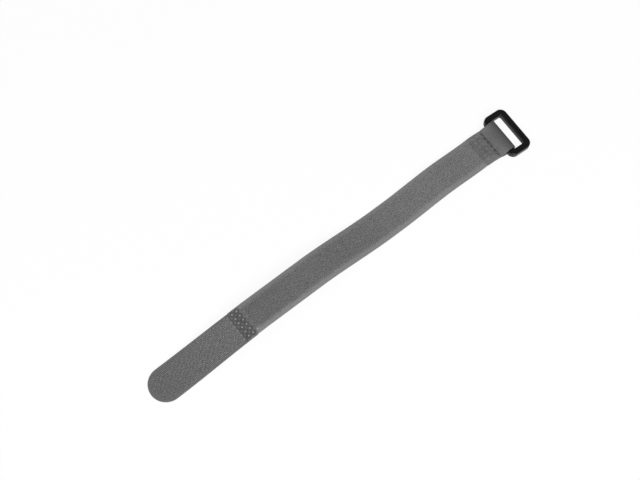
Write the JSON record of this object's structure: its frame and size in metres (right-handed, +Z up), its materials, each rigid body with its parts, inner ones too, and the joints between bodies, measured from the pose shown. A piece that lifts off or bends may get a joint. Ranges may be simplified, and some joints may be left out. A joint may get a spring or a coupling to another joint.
{
  "type": "hook and loop cable tie",
  "caption": "Reusable strap of napped loop tape with a welded hook tape tail at one end and a moulded ring folded into the other.",
  "frame": {"origin": "centre of the tie's length and of the ring's width, on the ground that the tie lies on", "axes": "+X along the strap from the hook tail's tip to the ring, +Y across the strap, +Z up on the side of the hooks and loops"},
  "size_m": [0.2618, 0.029, 0.0081],
  "materials": {
    "loop_tape": "napped nylon loop pile, matt",
    "hook_tape": "woven nylon with moulded hooks, slight sheen",
    "ring_plastic": "moulded black plastic, satin"
  },
  "bodies": {
    "strap": {"loop_strap": "loop_tape", "hook_tail": "hook_tape"},
    "ring": {"buckle_ring": "ring_plastic"}
  },
  "joints": [
    {"name": "ring_swing", "type": "hinge", "parent": "strap", "child": "ring", "pos_m": [0.11782, 0.00012, 0.00345], "axis": [-0.0244, -0.9997, 0], "range_deg": [-140, 170]}
  ]
}
